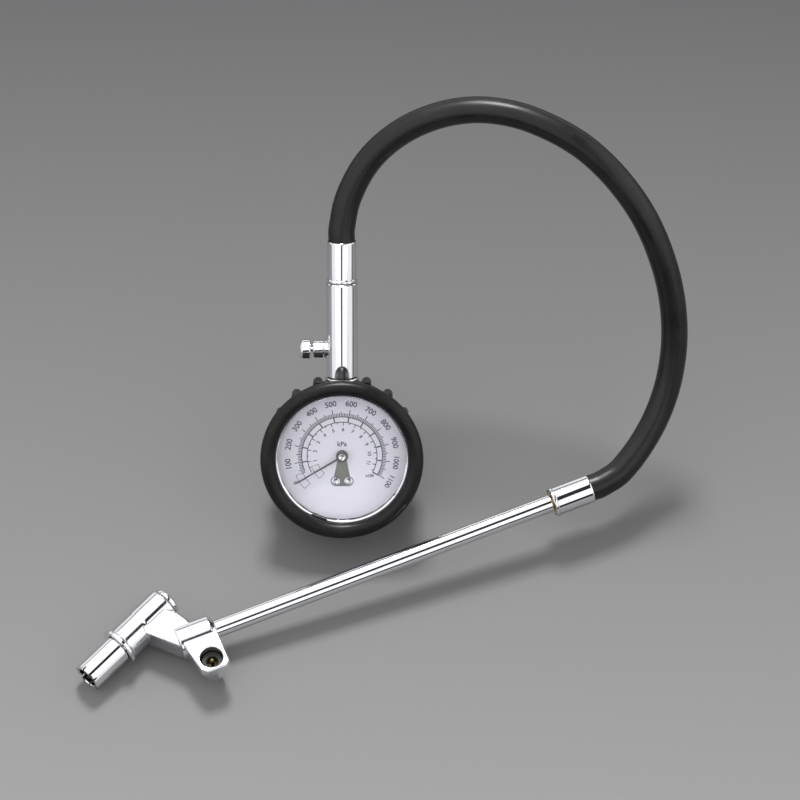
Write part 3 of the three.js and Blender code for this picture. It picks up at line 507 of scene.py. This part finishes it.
dial = {
    "inkLow": -0.02,
    "inkHigh": 0.03,
    "inkBold": 0.07,
    "zeroAt": 211.0,
    "steps": 11,
    "stepDegrees": 240 / 11,
    "minorSteps": 10,
    "firstMinor": 3,
    "outerArc": 17.0,
    "outerArcStart": 8,  # degrees after zero
    "innerArc": 14.7,
    "innerArcStart": 2,
    "arcWide": 0.36,
    "tickWide": 0.36,
    "crossTickWide": 0.54,
    "reach": {"whole": 3.3, "half": 2.3, "minor": 1.6},
    "numberRadius": 22.8,
    "numberSize": 3.3,
    "zeroShare": 0.72,
    "fourFigureShare": 0.92,
    "unit": ("kPa", 2.9, (0, 5.1)),
}
secondScale = {  # reads inwards
    "steps": 24,
    "stepDegrees": 10.28,
    "longReach": 1.5,
    "shortReach": 0.8,
    "numbers": 11,
    "numberRadius": 11.5,
    "numberSize": 2.1,
    "unit": ("x100", 1.7, (11.6, -8.7)),
}
zeroMark = {  # open boxes astride the zero line
    "at": dial["zeroAt"] + 2,
    "boxes": ((19.7, 1.6, 9.0), (12.2, 1.5, 13.0)),  # middle radius, half its depth, half its angle
    "boxLine": 0.2,
    "line": (10.7, 22.6),
    "lineWide": 0.16,
}
inkThick = dial["inkHigh"] - dial["inkLow"]
inkMiddle = (dial["inkLow"] + dial["inkHigh"]) / 2


def inkBar(radiusFrom, radiusTo, degrees, wide):  # a tick that points at the hub
    bar = boxShape(radiusTo - radiusFrom, wide, inkThick, ((radiusFrom + radiusTo) / 2, 0, inkMiddle))
    return moveShape(bar, Matrix.Rotation(math.radians(degrees), 4, "Z"))


def inkArc(radius, wide, fromDegrees, toDegrees):
    shape = bmesh.new()
    corners = [(radius - wide / 2, dial["inkLow"]), (radius + wide / 2, dial["inkLow"]),
               (radius + wide / 2, dial["inkHigh"]), (radius - wide / 2, dial["inkHigh"])]
    start = shape.faces.new([shape.verts.new((x, 0, z)) for x, z in corners])
    sweep = math.radians(toDegrees - fromDegrees)
    bmesh.ops.spin(shape, geom=[start], cent=(0, 0, 0), axis=(0, 0, 1), dvec=(0, 0, 0), angle=sweep,
                   steps=max(2, round(abs(sweep) * 28)), use_merge=False, use_duplicate=False)
    moveShape(shape, Matrix.Rotation(math.radians(fromDegrees), 4, "Z"))
    bmesh.ops.recalc_face_normals(shape, faces=shape.faces)
    return shape


def inkText(words, size, place):
    text = bpy.data.curves.new("words", "FONT")
    text.body = words
    text.size = size
    text.align_x = "CENTER"
    text.align_y = "CENTER"
    text.extrude = inkThick / 2
    text.resolution_u = 4
    text.offset = dial["inkBold"]
    holder = bpy.data.objects.new("holder", text)
    scene.collection.objects.link(holder)
    graph = bpy.context.evaluated_depsgraph_get()
    flat = bpy.data.meshes.new_from_object(holder.evaluated_get(graph))
    bpy.data.objects.remove(holder)
    shape = bmesh.new()
    shape.from_mesh(flat)
    bmesh.ops.remove_doubles(shape, verts=shape.verts, dist=weldWithin)
    bmesh.ops.recalc_face_normals(shape, faces=shape.faces)
    return moveShape(shape, place)


def aroundDial(radius, degrees):  # upright on a circle, feet towards the hub
    a = math.radians(degrees)
    spot = Matrix.Translation((radius * math.cos(a), radius * math.sin(a), inkMiddle))
    return spot @ Matrix.Rotation(a - quarterTurn, 4, "Z")


def makeScale():
    zero = dial["zeroAt"]
    last = zero - dial["steps"] * dial["stepDegrees"]
    scale = bmesh.new()
    mergeShapes(scale, inkArc(dial["outerArc"], dial["arcWide"], last, zero - dial["outerArcStart"]))
    mergeShapes(scale, inkArc(dial["innerArc"], dial["arcWide"], last, zero - dial["innerArcStart"]))
    for i in range(dial["firstMinor"], dial["steps"] * dial["minorSteps"] + 1):
        at = zero - i * dial["stepDegrees"] / dial["minorSteps"]
        kind = "whole" if i % dial["minorSteps"] == 0 else "half" if i % 5 == 0 else "minor"
        far = dial["outerArc"] + dial["reach"][kind]
        mergeShapes(scale, inkBar(dial["outerArc"], far, at, dial["tickWide"]))
        if kind == "whole":
            mergeShapes(scale, inkBar(dial["innerArc"], dial["outerArc"], at, dial["crossTickWide"]))
    for i in range(1, secondScale["steps"]):
        at = zero - i * secondScale["stepDegrees"]
        reach = secondScale["longReach"] if i % 2 == 0 else secondScale["shortReach"]
        mergeShapes(scale, inkBar(dial["innerArc"] - reach, dial["innerArc"], at, dial["tickWide"]))
    at, line = zeroMark["at"], zeroMark["boxLine"]
    for middle, half, wide in zeroMark["boxes"]:
        for radius in (middle - half, middle + half):
            mergeShapes(scale, inkArc(radius, line, at - wide, at + wide))
        for side in (-wide, wide):
            mergeShapes(scale, inkBar(middle - half, middle + half, at + side, line))
    mergeShapes(scale, inkBar(*zeroMark["line"], at, zeroMark["lineWide"]))
    finishPiece(scale, "dial_scale", gaugeAxes, "root", "scaleInk")


def makeNumbers():
    numbers = bmesh.new()
    for i in range(dial["steps"] + 1):
        at = dial["zeroAt"] - i * dial["stepDegrees"]
        share = dial["zeroShare"] if i == 0 else dial["fourFigureShare"] if i > 9 else 1
        words = inkText(str(100 * i), share * dial["numberSize"], aroundDial(dial["numberRadius"], at))
        mergeShapes(numbers, words)
    finishPiece(numbers, "dial_numbers", gaugeAxes, "root", "numberInk")


def makeSmallPrint():
    small = bmesh.new()
    for i in range(1, secondScale["numbers"] + 1):
        at = dial["zeroAt"] - 2 * i * secondScale["stepDegrees"]
        place = aroundDial(secondScale["numberRadius"], at)
        mergeShapes(small, inkText(str(i), secondScale["numberSize"], place))
    for words, size, (x, y) in (dial["unit"], secondScale["unit"]):
        mergeShapes(small, inkText(words, size, Matrix.Translation((x, y, inkMiddle))))
    finishPiece(small, "dial_small_print", gaugeAxes, "root", "smallInk")


makeScale()
makeNumbers()
makeSmallPrint()
print("dial printed")

# pointer, hub and screws
pointer = {
    "low": 1.1,
    "high": 1.65,
    "needle": [(-2.2, -0.45), (2.0, -0.4), (22.9, -0.2), (23.5, 0), (22.9, 0.2), (2.0, 0.4), (-2.2, 0.45)],
    "hub": [(0.9, 1.0), (2.5, 1.0), (2.5, 1.9), (2.2, 2.3), (1.5, 2.55), (0.9, 2.6)],
    "cap": [(0, 2.45), (1.45, 2.45), (1.5, 2.65), (1.2, 2.72), (0.9, 2.6), (0, 2.62)],
    "needleEdge": 0.06,
    "hubEdge": 0.1,
}
needleShape = slabShape(pointer["needle"], pointer["low"], pointer["high"])
softenEdges(needleShape, pointer["needleEdge"], 2)
moveShape(needleShape, Matrix.Rotation(math.radians(dial["zeroAt"]), 4, "Z"))
finishPiece(needleShape, "pointer_needle", gaugeAxes, "pointer_set", "pointer_black", replaced=["pointer"])
hubShape = softenEdges(turnedShape(pointer["hub"], 48), pointer["hubEdge"], 2)
finishPiece(hubShape, "pointer_hub", aboutDial, "pointer_set", "pointer_black")
capShape = softenEdges(turnedShape(pointer["cap"], 36), pointer["hubEdge"], 2)
finishPiece(capShape, "pointer_cap", aboutDial, "pointer_set", "chrome")

screws = {
    "spread": 2.65,
    "drop": 11.1,
    "outline": [(0, -5.6), (0.9, -5.6), (0.9, -1.1), (1.9, -1.1), (1.9, -0.15), (1.65, 0.2), (1.2, 0.25),
                (1.0, -0.2), (0, -0.2)],
    "slot": (1.9, 0.5, 1.0),
    "slotAt": (0, 0, -0.2),
    "edge": 0.06,
}
for name, side, slotTurn in (("left", -1, 28), ("right", 1, -52)):
    head = moveShape(turnedShape(screws["outline"], 48), yToZ)
    groove = boxShape(*screws["slot"], screws["slotAt"])
    moveShape(groove, Matrix.Rotation(math.radians(slotTurn), 4, "Z"))
    head = softenEdges(withTools(head, "DIFFERENCE", groove), screws["edge"], 2)
    moveShape(head, Matrix.Translation((side * screws["spread"], -screws["drop"], 0)))
    finishPiece(head, "slotted_screw_" + name, gaugeAxes, "root", "chrome",
                replaced=["dial_screw_" + name])
print("pointer and screws made")

# stem, collar and bleeder
stem = {
    "collar": [
        (5.0, 30.2), (6.7, 30.2), *arcPoints(6.7, 30.8, 0.6, -60, 60, 4), (6.7, 31.4), (5.0, 31.4),
    ],
    "outline": [
        (4.9, 31.7), (6.3, 31.7), (6.7, 32.1), (6.7, 71.9), (6.3, 72.3), (3.2, 72.3), (3.2, 49.5),
        (1.4, 49.5), (1.4, 48), (3.2, 48), (3.2, 37.6), (4.9, 37.6),
    ],
    "bore": (3.2, 37.6, 48),
    "boss": [(0, 4.1), (3.8, 4.1), (3.8, 7.35), (3.55, 7.6), (0, 7.6)],
    "pocket": (2.5, 0.0, 9.0),
    "sleeve": [
        (1.4, 4.6), (2.2, 4.6), (2.2, 7.9), (3.8, 7.9), (3.8, 11.8), (3.4, 12.2), (2.9, 12.2), (2.9, 9.1),
        (1.4, 9.1),
    ],
    "button": [
        (0, 2.6), (1.9, 2.6), (1.9, 3.4), (1, 3.4), (1, 13.2), (3.7, 13.2), (4.2, 13.7), (4.2, 16.6),
        (3.9, 17.1), (3.3, 17.7), (0, 17.7),
    ],
    "edge": 0.12,
    "sleeveEdge": 0.1,
}
finishPiece(turnedShape(stem["collar"], 64), "collar", aboutStem, "root", "chrome", replaced=["stem_collar"])


def makeStem():
    body = softenEdges(turnedShape(stem["outline"], 72), stem["edge"], 2, 60)
    body = withTools(body, "UNION", moveShape(turnedShape(stem["boss"], 48), toBleeder))
    pocket = moveShape(rodShape(*stem["pocket"], 40), toBleeder)
    body = withTools(body, "DIFFERENCE", pocket, rodShape(*stem["bore"], 48))
    finishPiece(body, "stem_tube", aboutStem, "root", "chrome", replaced=["stem_body"])


makeStem()
sleeveShape = softenEdges(turnedShape(stem["sleeve"], 48), stem["sleeveEdge"], 2)
finishPiece(sleeveShape, "bleeder_collar", aboutBleeder, "root", "chrome", replaced=["bleeder_sleeve"])
buttonShape = softenEdges(turnedShape(stem["button"], 48), stem["edge"], 2)
finishPiece(buttonShape, "bleeder_knob", aboutBleeder, "bleeder", "chrome", replaced=["bleeder_button"])
print("stem and bleeder made")

# ferrules and lance tube
ferrule = {
    "outline": [
        (5.5, 0), (6.3, 0), (6.6, 0.3), (6.6, 1.1), (6.15, 1.5), (6.25, 1.9), (6.25, 16.7), (6.1, 17.3),
        (5.8, 17.5), (5.8, 3.0), (3.3, 3.0), (3.3, 1.8), (5.5, 1.8),
    ],
    "edge": 0.1,
}
for name, axes, node in (
    ("stem_ferrule", aboutStem @ Matrix.Translation((0, hose["stemMouth"], 0)), "ferrule_gauge"),
    ("lance_ferrule", aboutLance @ Matrix.Translation((0, hose["lanceMouth"], 0)), "ferrule_lance"),
):
    ferruleShape = softenEdges(turnedShape(ferrule["outline"], 72), ferrule["edge"], 2)
    finishPiece(ferruleShape, name, axes, "root", "chrome", replaced=[node])

lanceTube = {
    "outline": [(2.6, -12.6), (3.8, -12.6), (3.8, 150.0), (3.5, 150.3), (2.6, 150.3)],
    "edge": 0.1,
}
tubeShape = softenEdges(turnedShape(lanceTube["outline"], 72), lanceTube["edge"], 2)
finishPiece(tubeShape, "lance", aboutLance, "root", "chrome", replaced=["lance_tube"])

# chuck head, cast in one piece
chuck = {
    "barrel": [
        (0, 20.8), (7.2, 20.8), (7.5, 21.1), (7.5, 32), (7.8, 32.8), (7.8, 45.8), (7.0, 46.6), (0, 46.6),
    ],
    "socket": [(0, -18), (7.3, -18), (7.3, -3.6), (4.5, -1.4), (0, -1.4)],
    "arm": [
        (-32.5, 10.7), (-28.5, 6.3), (-18, -4.9), (-9.5, -4.9), (-10.5, 5.8), (-13.4, 11.4), (-17.6, 15.2),
        (-26, 19),
    ],
    "armHalf": 6.3,
    "armEdge": 1.6,
    "lug": [
        (-16.6, -2), (-16.6, -7.2), (-14.3, -18.8), (-12.1, -21), (-4.0, -21), (-1.8, -18.8), (-1.8, -2),
    ],
    "lugLow": 0.8,
    "lugHigh": 6.0,
    "lugEdge": 0.5,
    "boss": (4.9, -5.6, 1.8),
    "rib": ((-8.3, -14.8, -1.8), (-15.0, 0.5, 0.0), 2.4),
    "port": [
        (0, -4.4), (3.4, -4.4), (3.4, -0.6), (4.7, -0.6), (4.7, 5.5), (5.3, 6.2), (5.3, 7.0), (0, 7.0),
    ],
    "spigotHole": (5.6, 19.8, 28.3),
    "passage": (2.0, 27.0, 42.6),
    "plugHole": (4.4, 41.0, 47.6),
    "tubeHole": (4.1, -14.0, 0.0),
    "voxel": 0.24,
    "smoothing": 5,
    "smoothingShare": 0.5,
}


def chamferedSlab(outline, low, high, edge):
    shape = slabShape(outline, low, high)
    rims = [line for line in shape.edges if abs(line.verts[0].co.z - line.verts[1].co.z) < 0.01]
    bmesh.ops.bevel(shape, geom=rims, offset=edge, offset_type="OFFSET", segments=1, profile=0.5,
                    affect="EDGES", clamp_overlap=True, material=-1)
    return shape


def rodBetween(start, end, radius):
    reach = Vector(end) - Vector(start)
    turn = Vector((0, 1, 0)).rotation_difference(reach).to_matrix().to_4x4()
    return moveShape(rodShape(radius, 0, reach.length, 40), Matrix.Translation(start) @ turn)


def makeChuck():
    nozzleHeading = Matrix.Rotation(lugSpot["nozzleTurn"] - quarterTurn, 4, "Z")
    toNozzle = Matrix.Translation(nozzleMouth) @ nozzleHeading
    body = withTools(
        moveShape(turnedShape(chuck["barrel"], 96), toNozzle),
        "UNION",
        moveShape(turnedShape(chuck["socket"], 96), yToX),
        chamferedSlab(chuck["arm"], -chuck["armHalf"], chuck["armHalf"], chuck["armEdge"]),
        chamferedSlab(chuck["lug"], chuck["lugLow"], chuck["lugHigh"], chuck["lugEdge"]),
        moveShape(rodShape(*chuck["boss"], 64), toPort),
        rodBetween(*chuck["rib"]),
    )
    body = withTools(
        body,
        "DIFFERENCE",
        moveShape(rodShape(*chuck["spigotHole"], 64), toNozzle),
        moveShape(rodShape(*chuck["passage"], 32), toNozzle),
        moveShape(rodShape(*chuck["plugHole"], 48), toNozzle),
        moveShape(rodShape(*chuck["tubeHole"], 64), yToX),
        moveShape(turnedShape(chuck["port"], 64), toPort),
    )
    casting = toObject(body, "casting")
    cells = casting.modifiers.new("cells", "REMESH")
    cells.mode = "VOXEL"
    cells.voxel_size = chuck["voxel"]
    soft = casting.modifiers.new("soft", "SMOOTH")
    soft.factor = chuck["smoothingShare"]
    soft.iterations = chuck["smoothing"]
    applyModifiers(casting)
    shape = bmesh.new()
    shape.from_mesh(casting.data)
    bpy.data.objects.remove(casting)
    print("chuck faces:", len(shape.faces))
    finishPiece(shape, "chuck_casting", lanceAxes, "root", "castChrome", replaced=["chuck_head"],
                smoothUnder=60)


makeChuck()
print("chuck made")

# nozzle, ring, plug, seals and plungers
nozzle = {
    "outline": [
        (4.5, 0.5), (4.9, 0), (5.95, 0), (6.35, 0.4), (6.35, 18.4), (5.3, 18.4), (5.3, 28), (4.5, 28),
    ],
    "slots": (20, 80, 140),
    "slotLong": 16,
    "slotWide": 0.8,
    "slotDeep": 1.8,
    "ring": [(5.6, 18.7), (8.35, 18.7), (8.65, 19.0), (8.65, 20.2), (8.35, 20.5), (5.6, 20.5)],
    "gasket": [(2.2, 7.6), (3.0, 7.0), (4.2, 7.0), (4.2, 10.0), (2.2, 10.0)],
    "plunger": [
        (0, 5.6), (0.9, 5.8), (0.9, 10.3), (4.1, 10.3), (4.1, 11.5), (1.6, 11.5), (1.6, 15.3), (0, 15.3),
    ],
    "plug": [
        (0, 41.6), (4.1, 41.6), (4.1, 46.9), (6.6, 46.9), (6.6, 47.8),
        *arcPoints(5.3, 47.8, 1.3, 20, 70, 3), (5.0, 49.1), (0, 49.1),
    ],
    "plugSlot": (9.0, 1.5, 1.6),
    "edge": 0.12,
    "ringEdge": 0.08,
    "gasketEdge": 0.15,
}


def makeNozzle():
    tube = softenEdges(turnedShape(nozzle["outline"], 72), nozzle["edge"], 2, 50)
    cutters = []
    for turn in nozzle["slots"]:
        cutter = boxShape(nozzle["slotLong"], 2 * nozzle["slotDeep"], nozzle["slotWide"])
        cutters.append(moveShape(cutter, Matrix.Rotation(math.radians(turn), 4, "Y")))
    tube = withTools(tube, "DIFFERENCE", *cutters)
    finishPiece(tube, "straight_nozzle", nozzleAxes, "root", "chrome", replaced=["nozzle"])
    ring = softenEdges(turnedShape(nozzle["ring"], 72), nozzle["ringEdge"], 2)
    finishPiece(ring, "nozzle_flange", nozzleAxes, "root", "chrome", replaced=["nozzle_ring"])
    gasket = softenEdges(turnedShape(nozzle["gasket"], 48), nozzle["gasketEdge"], 3)
    finishPiece(gasket, "nozzle_seal", nozzleAxes, "root", "gasket_rubber", replaced=["nozzle_gasket"])
    plunger = softenEdges(turnedShape(nozzle["plunger"], 40), nozzle["edge"], 2)
    finishPiece(plunger, "nozzle_pin", nozzleAxes, "nozzle_valve", "agedBrass",
                replaced=["nozzle_plunger"])
    slot = boxShape(*nozzle["plugSlot"], (0, nozzle["plug"][-1][1], 0))
    plug = softenEdges(turnedShape(nozzle["plug"], 64), nozzle["edge"], 2, 50)
    plug = withTools(plug, "DIFFERENCE", slot)
    finishPiece(plug, "end_plug", nozzleAxes, "root", "chrome", replaced=["barrel_plug"])


makeNozzle()
portParts = {
    "gasket": [(2.2, -0.3), (4.4, -0.3), (4.4, 2.4), (2.8, 2.4), (2.2, 1.9)],
    "plunger": [
        (0, -2.4), (1.4, -2.4), (1.4, -1.8), (3.0, -1.8), (3.0, -1.0), (0.9, -1.0), (0.9, 3.2), (0, 3.6),
    ],
    "gasketEdge": 0.15,
    "plungerEdge": 0.1,
}
sealShape = softenEdges(turnedShape(portParts["gasket"], 48), portParts["gasketEdge"], 3)
finishPiece(sealShape, "port_seal", aboutPort, "root", "gasket_rubber", replaced=["port_gasket"])
pinShape = softenEdges(turnedShape(portParts["plunger"], 40), portParts["plungerEdge"], 2)
finishPiece(pinShape, "port_pin", aboutPort, "port_valve", "agedBrass", replaced=["port_plunger"])
print("nozzle and port made")

# CAD nodes that stay, with their materials
slotOf = {entry["node"]: entry["material_slot"] for entry in record["subparts"]}
special = {"movement_bridge": "oliveSteel"}
for name, node in nodes.items():
    node.data.materials.clear()
    node.data.materials.append(finishes[special.get(name, slotOf[name])])

# floor and light
# the floor's base colour darkens from near to far as painted shade, standing in for light falling off away
# from the lamps
floor = {
    "half": 3.0,
    "near": (0.225, 0.225, 0.223),
    # painted shade: the far colour is darker than the near one only to imitate weaker light at the back
    "far": (0.068, 0.068, 0.071),
    "nearY": -0.16,
    "farY": 0.32,
    "rough": 0.6,
    "specular": 0.08,
}


def makeFloor():
    sheet = bmesh.new()
    bmesh.ops.create_grid(sheet, x_segments=4, y_segments=4, size=floor["half"])
    plane = toObject(sheet, "floor")
    paperPaintedShade = bpy.data.materials.new("paperPaintedShade")
    paperPaintedShade.use_nodes = True
    tree = paperPaintedShade.node_tree
    shader = tree.nodes["Principled BSDF"]
    where = tree.nodes.new("ShaderNodeTexCoord").outputs["Object"]
    parts = tree.nodes.new("ShaderNodeSeparateXYZ")
    tree.links.new(where, parts.inputs[0])
    # painted shade ramp: base colour blends from the near colour at nearY to the darker far colour at farY
    paintedShadeRamp = addRange(tree, parts.outputs["Y"], floor["nearY"], floor["farY"], 0, 1)
    tone = tree.nodes.new("ShaderNodeMix")
    tone.data_type = "RGBA"
    tone.inputs["A"].default_value = (*floor["near"], 1)
    tone.inputs["B"].default_value = (*floor["far"], 1)
    tree.links.new(paintedShadeRamp, tone.inputs["Factor"])
    connect(tree, tone, "Result", shader, "Base Color")
    shader.inputs["Roughness"].default_value = floor["rough"]
    shader.inputs["Specular IOR Level"].default_value = floor["specular"]
    plane.data.materials.append(paperPaintedShade)


def addPanel(name, centre, sizeX, sizeY, radiance, turn=0.0, aim=None):
    panel = bpy.data.lights.new(name, "AREA")
    panel.shape = "RECTANGLE"
    panel.size = sizeX
    panel.size_y = sizeY
    panel.energy = radiance * math.pi * sizeX * sizeY
    lamp = bpy.data.objects.new(name, panel)
    lamp.location = centre
    lamp.rotation_mode = "QUATERNION"
    facing = Vector((0, 0, -1)) if aim is None else (Vector(aim) - Vector(centre)).normalized()
    spin = Matrix.Rotation(turn, 4, "Z").to_quaternion()
    lamp.rotation_quaternion = spin @ facing.to_track_quat("-Z", "Y")
    lamp.visible_camera = False
    scene.collection.objects.link(lamp)


lights = {
    "centre": (0.17, -0.85, 1.0),
    "gap": 0.34,
    "wide": 1.9,
    "long": 4.2,
    "slant": math.radians(-14),
    "overhead": 1.25,
    "sides": 0.95,
    "sideAt": 1.7,
    "backAt": 1.9,
    "wallHigh": 0.9,
    "wallLong": 3.4,
    "keyAt": (-0.06, 1.45, 2.3),
    "keySize": 0.6,
    "key": 60.0,
    "roomColour": (0.5, 0.52, 0.56, 1),
    "room": 0.06,
}
middle = Vector(lights["centre"])
sideways = Vector((math.cos(lights["slant"]), math.sin(lights["slant"]), 0))
offset = (lights["gap"] + lights["wide"]) / 2
for name, side in (("leftPanel", -1), ("rightPanel", 1)):
    addPanel(name, middle + side * sideways * offset, lights["wide"], lights["long"], lights["overhead"],
             lights["slant"])
    wall = Vector((side * lights["sideAt"], 0, lights["wallHigh"] / 2))
    addPanel(name + "Wall", wall, lights["wallLong"], lights["wallHigh"], lights["sides"],
             aim=(0, 0, wall.z))
backWall = Vector((0, lights["backAt"], lights["wallHigh"] / 2))
addPanel("backWall", backWall, lights["wallLong"], lights["wallHigh"], lights["sides"],
         aim=(0, 0, backWall.z))
addPanel("backKey", lights["keyAt"], lights["keySize"], lights["keySize"], lights["key"], aim=(0, 0, 0))
makeFloor()
room = bpy.data.worlds.new("room")
room.use_nodes = True
background = room.node_tree.nodes["Background"]
background.inputs["Color"].default_value = lights["roomColour"]
background.inputs["Strength"].default_value = lights["room"]
scene.world = room
scene.view_settings.view_transform = "Standard"
print("stage lit")
